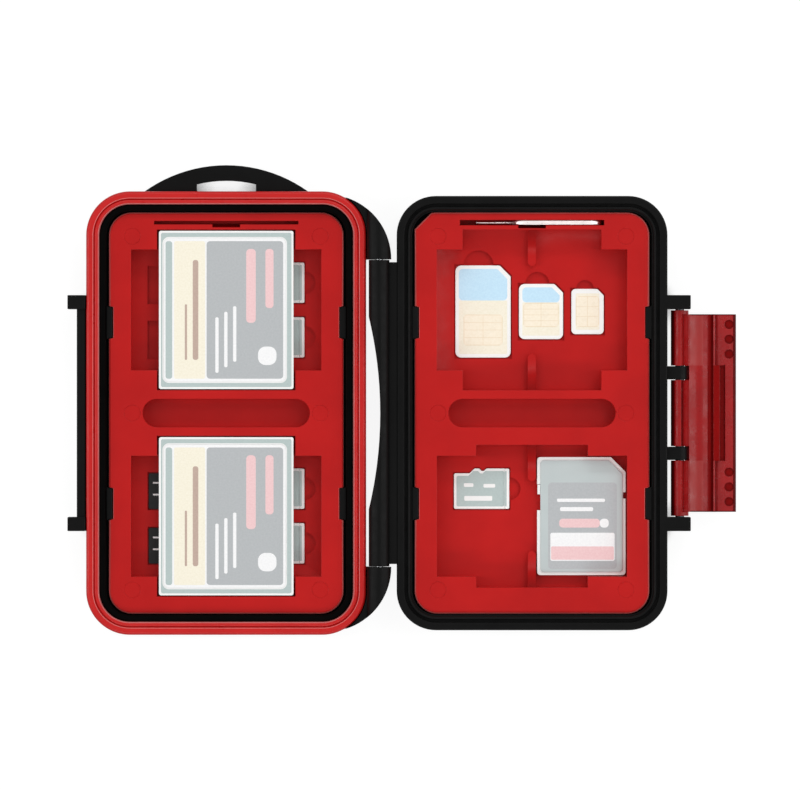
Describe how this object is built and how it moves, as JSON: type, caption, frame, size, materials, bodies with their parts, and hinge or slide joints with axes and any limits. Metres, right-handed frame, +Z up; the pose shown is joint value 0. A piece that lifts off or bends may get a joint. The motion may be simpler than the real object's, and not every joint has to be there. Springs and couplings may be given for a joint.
{
  "type": "memory card case",
  "caption": "Hinged two-half hard case for memory cards, open flat: black shells with a carry loop, red card trays, red sealed rim and a see-through red latch, with cards in their places.",
  "frame": {"origin": "middle of the base half's outer face, which lies on the table", "axes": "+X across the two open halves from the lid to the latch, +Y along the hinge towards the carry loop's end, +Z up out of the open case"},
  "size_m": [0.1809, 0.1271, 0.0154],
  "materials": {
    "black_shell": "moulded, satin",
    "red_tray": "moulded, satin gloss",
    "red_rim": "moulded, satin gloss",
    "clear_red_latch": "see-through, polished",
    "black_seal": "matt",
    "steel": "brushed",
    "dark_steel": "blackened",
    "card_grey": "moulded, matt",
    "label_grey": "coated paper",
    "card_white": "smooth",
    "contact_gold": "gold plated"
  },
  "bodies": {
    "base": {"base_shell": "black_shell", "base_tray": "red_tray", "latch_pin": "dark_steel"},
    "lid": {"lid_shell": "black_shell", "lid_rim": "red_rim", "lid_gasket": "black_seal", "lid_tray": "red_tray", "hinge_pin_upper": "steel", "hinge_pin_lower": "steel", "microsd_1": "card_grey", "microsd_2": "card_grey", "microsd_3": "card_grey", "microsd_4": "card_grey", "microsd_5": "card_grey", "microsd_6": "card_grey"},
    "latch": {"latch": "clear_red_latch"},
    "cf_upper": {"cf_card_upper": "card_grey", "cf_label_upper": "label_grey"},
    "cf_lower": {"cf_card_lower": "card_grey", "cf_label_lower": "label_grey"},
    "sd": {"sd_card": "card_grey", "sd_label": "label_grey"},
    "sd_write_switch": {"sd_switch": "card_white"},
    "microsd": {"microsd_base": "card_grey"},
    "mini_sim_card": {"mini_sim": "card_white", "mini_sim_contacts": "contact_gold"},
    "micro_sim_card": {"micro_sim": "card_white", "micro_sim_contacts": "contact_gold"},
    "nano_sim_card": {"nano_sim": "card_white", "nano_sim_contacts": "contact_gold"},
    "eject_tool": {"sim_tool": "steel"}
  },
  "joints": [
    {"name": "lid_hinge", "type": "hinge", "parent": "base", "child": "lid", "pos_m": [-0.04135, 0, 0.0121], "axis": [0, -1, 0], "range_deg": [-180, 0]},
    {"name": "latch_hinge", "type": "hinge", "parent": "base", "child": "latch", "pos_m": [0.04, 0, 0.0075], "axis": [0, 1, 0], "range_deg": [-90, 0]},
    {"name": "cf_upper_lift", "type": "slide", "parent": "lid", "child": "cf_upper", "axis": [0, 0, 1], "range_m": [0, 0.02]},
    {"name": "cf_lower_lift", "type": "slide", "parent": "lid", "child": "cf_lower", "axis": [0, 0, 1], "range_m": [0, 0.02]},
    {"name": "sd_lift", "type": "slide", "parent": "base", "child": "sd", "axis": [0, 0, 1], "range_m": [0, 0.02]},
    {"name": "sd_write_protect", "type": "slide", "parent": "sd", "child": "sd_write_switch", "axis": [0, -1, 0], "range_m": [0, 0.004]},
    {"name": "microsd_lift", "type": "slide", "parent": "base", "child": "microsd", "axis": [0, 0, 1], "range_m": [0, 0.02]},
    {"name": "mini_sim_lift", "type": "slide", "parent": "base", "child": "mini_sim_card", "axis": [0, 0, 1], "range_m": [0, 0.02]},
    {"name": "micro_sim_lift", "type": "slide", "parent": "base", "child": "micro_sim_card", "axis": [0, 0, 1], "range_m": [0, 0.02]},
    {"name": "nano_sim_lift", "type": "slide", "parent": "base", "child": "nano_sim_card", "axis": [0, 0, 1], "range_m": [0, 0.02]},
    {"name": "eject_tool_lift", "type": "slide", "parent": "base", "child": "eject_tool", "axis": [0, 0, 1], "range_m": [0, 0.02]}
  ]
}
